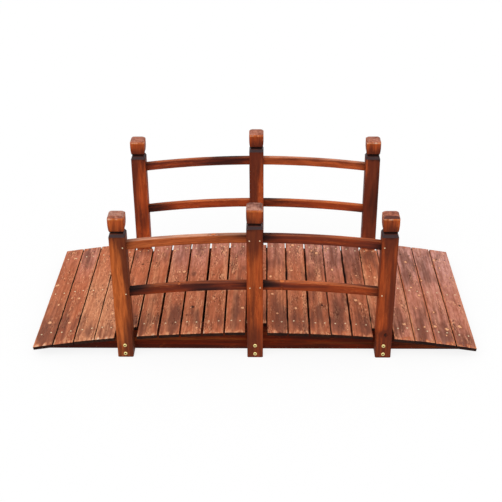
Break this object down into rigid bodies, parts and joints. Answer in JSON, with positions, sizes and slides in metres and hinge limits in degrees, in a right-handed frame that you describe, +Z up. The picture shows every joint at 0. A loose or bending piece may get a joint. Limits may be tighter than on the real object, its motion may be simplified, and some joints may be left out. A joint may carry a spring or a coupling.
{
  "type": "wooden garden moon bridge",
  "caption": "Low arched garden footbridge: deck boards across arched stringers, square posts with notched heads, and curved upper and lower rails along both sides.",
  "frame": {"origin": "on the ground under the middle of the deck", "axes": "+X along the deck, to the right as seen from the front railing; +Y across the deck, away from the front railing; +Z up"},
  "size_m": [1.4996, 0.67, 0.5635],
  "materials": {
    "deck_wood": "stained, satin",
    "post_wood": "scorched and stained, satin",
    "rail_wood": "scorched and stained, satin",
    "stringer_wood": "stained, satin",
    "fixings": "zinc plated"
  },
  "bodies": {
    "root": {"deck_board_01": "deck_wood", "deck_board_02": "deck_wood", "deck_board_03": "deck_wood", "deck_board_04": "deck_wood", "deck_board_05": "deck_wood", "deck_board_06": "deck_wood", "deck_board_07": "deck_wood", "deck_board_08": "deck_wood", "deck_board_09": "deck_wood", "deck_board_10": "deck_wood", "deck_board_11": "deck_wood", "deck_board_12": "deck_wood", "deck_board_13": "deck_wood", "deck_board_14": "deck_wood", "deck_board_15": "deck_wood", "deck_board_16": "deck_wood", "deck_board_17": "deck_wood", "deck_board_18": "deck_wood", "deck_board_19": "deck_wood", "deck_board_20": "deck_wood", "deck_board_21": "deck_wood", "front_stringer": "stringer_wood", "middle_stringer": "stringer_wood", "back_stringer": "stringer_wood", "front_left_post": "post_wood", "front_middle_post": "post_wood", "front_right_post": "post_wood", "back_left_post": "post_wood", "back_middle_post": "post_wood", "back_right_post": "post_wood", "front_left_upper_rail": "rail_wood", "front_left_lower_rail": "rail_wood", "front_right_upper_rail": "rail_wood", "front_right_lower_rail": "rail_wood", "back_left_upper_rail": "rail_wood", "back_left_lower_rail": "rail_wood", "back_right_upper_rail": "rail_wood", "back_right_lower_rail": "rail_wood"}
  },
  "joints": []
}
